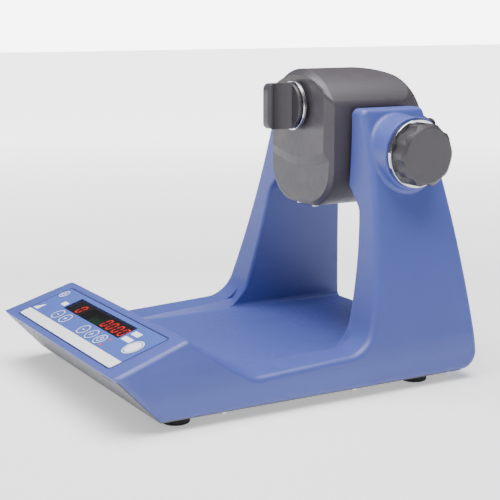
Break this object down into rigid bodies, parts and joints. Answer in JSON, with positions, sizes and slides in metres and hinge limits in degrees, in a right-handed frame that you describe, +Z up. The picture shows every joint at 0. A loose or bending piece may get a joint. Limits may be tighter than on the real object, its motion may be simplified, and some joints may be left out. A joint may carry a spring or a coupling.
{
  "type": "overhead rotating mixer",
  "caption": "Benchtop overhead rotating mixer: a sloping console runs back into towers that carry a knob-locked, tilting drive head with a clamping shaft.",
  "frame": {"origin": "on the floor, under the middle of the whole object", "axes": "+X to the side with the tilt knob (the right of a user facing the console), +Y to the back, +Z up"},
  "size_m": [0.2852, 0.3946, 0.291],
  "materials": {
    "casing_blue": "fine satin moulded texture",
    "cover_grey": "fine matte texture",
    "steel": "bright zinc plated",
    "foot_rubber": "matte",
    "foil_blue": "satin printed foil",
    "window_black": "gloss tinted",
    "display_black": "gloss",
    "led_red": "clear gloss",
    "board_green": "solder resist",
    "switch_black": "matte",
    "bush_white": "acetal",
    "key_blue": "satin",
    "head_grey": "fine satin texture",
    "frame_aluminium": "milled",
    "motor_steel": "drawn can",
    "seal_rubber": "matte",
    "gear_white": "acetal",
    "flange_aluminium": "turned",
    "gear_brass": "turned",
    "knob_grey": "satin phenolic",
    "ring_chrome": "polished"
  },
  "bodies": {
    "base": {"base_casing": "casing_blue", "bottom_cover": "cover_grey", "cover_screws": "steel", "foot_front_left": "foot_rubber", "foot_front_right": "foot_rubber", "foot_rear_left": "foot_rubber", "foot_rear_right": "foot_rubber", "foot_screws": "steel", "front_clips": "steel", "keypad_foil": "foil_blue", "display_window": "window_black", "speed_display": "display_black", "time_display": "display_black", "mode_leds": "led_red", "control_board": "board_green", "key_switches": "switch_black", "board_screws": "steel", "power_board": "board_green", "power_board_screws": "steel", "dc_socket": "switch_black", "pivot_bush_left": "bush_white", "pivot_bush_right": "bush_white"},
    "power_key_body": {"power_key": "key_blue"},
    "speed_down_key_body": {"speed_down_key": "key_blue"},
    "speed_up_key_body": {"speed_up_key": "key_blue"},
    "time_down_key_body": {"time_down_key": "key_blue"},
    "time_up_key_body": {"time_up_key": "key_blue"},
    "mode_key_body": {"mode_key": "key_blue"},
    "start_key_body": {"start_key": "key_blue"},
    "drive_head": {"head_housing": "head_grey", "head_front_cover": "head_grey", "head_cover_screws": "steel", "pivot_stub_left": "steel", "pivot_stub_right": "steel", "pivot_screws": "steel", "drive_frame": "frame_aluminium", "frame_screws": "steel", "gearbox": "steel", "gear_motor": "motor_steel", "motor_screws": "steel", "bearing_outer_races": "steel", "bearing_balls": "steel", "shaft_seal": "seal_rubber", "lead_bush": "switch_black"},
    "shaft_group": {"drive_shaft": "steel", "drive_gear": "gear_white", "clamp_flange": "flange_aluminium", "gear_key": "steel", "shaft_circlip": "steel", "bearing_inner_races": "steel"},
    "motor_rotor": {"motor_shaft": "steel", "pinion": "gear_brass"},
    "chuck_washer": {"pressure_washer": "seal_rubber"},
    "chuck_knob": {"wing_knob": "knob_grey", "wing_knob_insert": "gear_brass"},
    "tilt_ring": {"tilt_scale_ring": "ring_chrome"},
    "tilt_lock": {"tilt_knob": "knob_grey", "tilt_knob_insert": "gear_brass"}
  },
  "joints": [
    {"name": "head_tilt", "type": "hinge", "parent": "base", "child": "drive_head", "pos_m": [0, 0.12, 0.2162], "axis": [-1, 0, 0], "range_deg": [0, 90]},
    {"name": "shaft_spin", "type": "hinge", "parent": "drive_head", "child": "shaft_group", "pos_m": [0, 0.06, 0.2557], "axis": [0, -1, 0], "continuous": true},
    {"name": "motor_spin", "type": "hinge", "parent": "drive_head", "child": "motor_rotor", "pos_m": [0, 0.09, 0.2196], "axis": [0, -1, 0], "continuous": true},
    {"name": "chuck_travel", "type": "slide", "parent": "shaft_group", "child": "chuck_washer", "axis": [0, -1, 0], "range_m": [0, 0.00125]},
    {"name": "chuck_turn", "type": "hinge", "parent": "chuck_washer", "child": "chuck_knob", "pos_m": [0, 0.05, 0.2557], "axis": [0, -1, 0], "range_deg": [0, 360]},
    {"name": "tilt_lock_travel", "type": "slide", "parent": "drive_head", "child": "tilt_ring", "axis": [1, 0, 0], "range_m": [0, 0.0015]},
    {"name": "tilt_lock_turn", "type": "hinge", "parent": "tilt_ring", "child": "tilt_lock", "pos_m": [0.12, 0.12, 0.2162], "axis": [1, 0, 0], "range_deg": [0, 360]},
    {"name": "power_key_press", "type": "slide", "parent": "base", "child": "power_key_body", "axis": [0, 0.3093, -0.951], "range_m": [0, 0.0005], "stiffness_N_per_m": 1500},
    {"name": "speed_down_key_press", "type": "slide", "parent": "base", "child": "speed_down_key_body", "axis": [0, 0.3093, -0.951], "range_m": [0, 0.0005], "stiffness_N_per_m": 1500},
    {"name": "speed_up_key_press", "type": "slide", "parent": "base", "child": "speed_up_key_body", "axis": [0, 0.3093, -0.951], "range_m": [0, 0.0005], "stiffness_N_per_m": 1500},
    {"name": "time_down_key_press", "type": "slide", "parent": "base", "child": "time_down_key_body", "axis": [0, 0.3093, -0.951], "range_m": [0, 0.0005], "stiffness_N_per_m": 1500},
    {"name": "time_up_key_press", "type": "slide", "parent": "base", "child": "time_up_key_body", "axis": [0, 0.3093, -0.951], "range_m": [0, 0.0005], "stiffness_N_per_m": 1500},
    {"name": "mode_key_press", "type": "slide", "parent": "base", "child": "mode_key_body", "axis": [0, 0.3093, -0.951], "range_m": [0, 0.0005], "stiffness_N_per_m": 1500},
    {"name": "start_key_press", "type": "slide", "parent": "base", "child": "start_key_body", "axis": [0, 0.3093, -0.951], "range_m": [0, 0.0005], "stiffness_N_per_m": 1500}
  ],
  "couplings": [
    {"joint": "motor_spin", "follows": "shaft_spin", "ratio": -3},
    {"joint": "chuck_turn", "follows": "chuck_travel", "rad_per_m": 5026.5},
    {"joint": "tilt_lock_turn", "follows": "tilt_lock_travel", "rad_per_m": 4188.7}
  ]
}
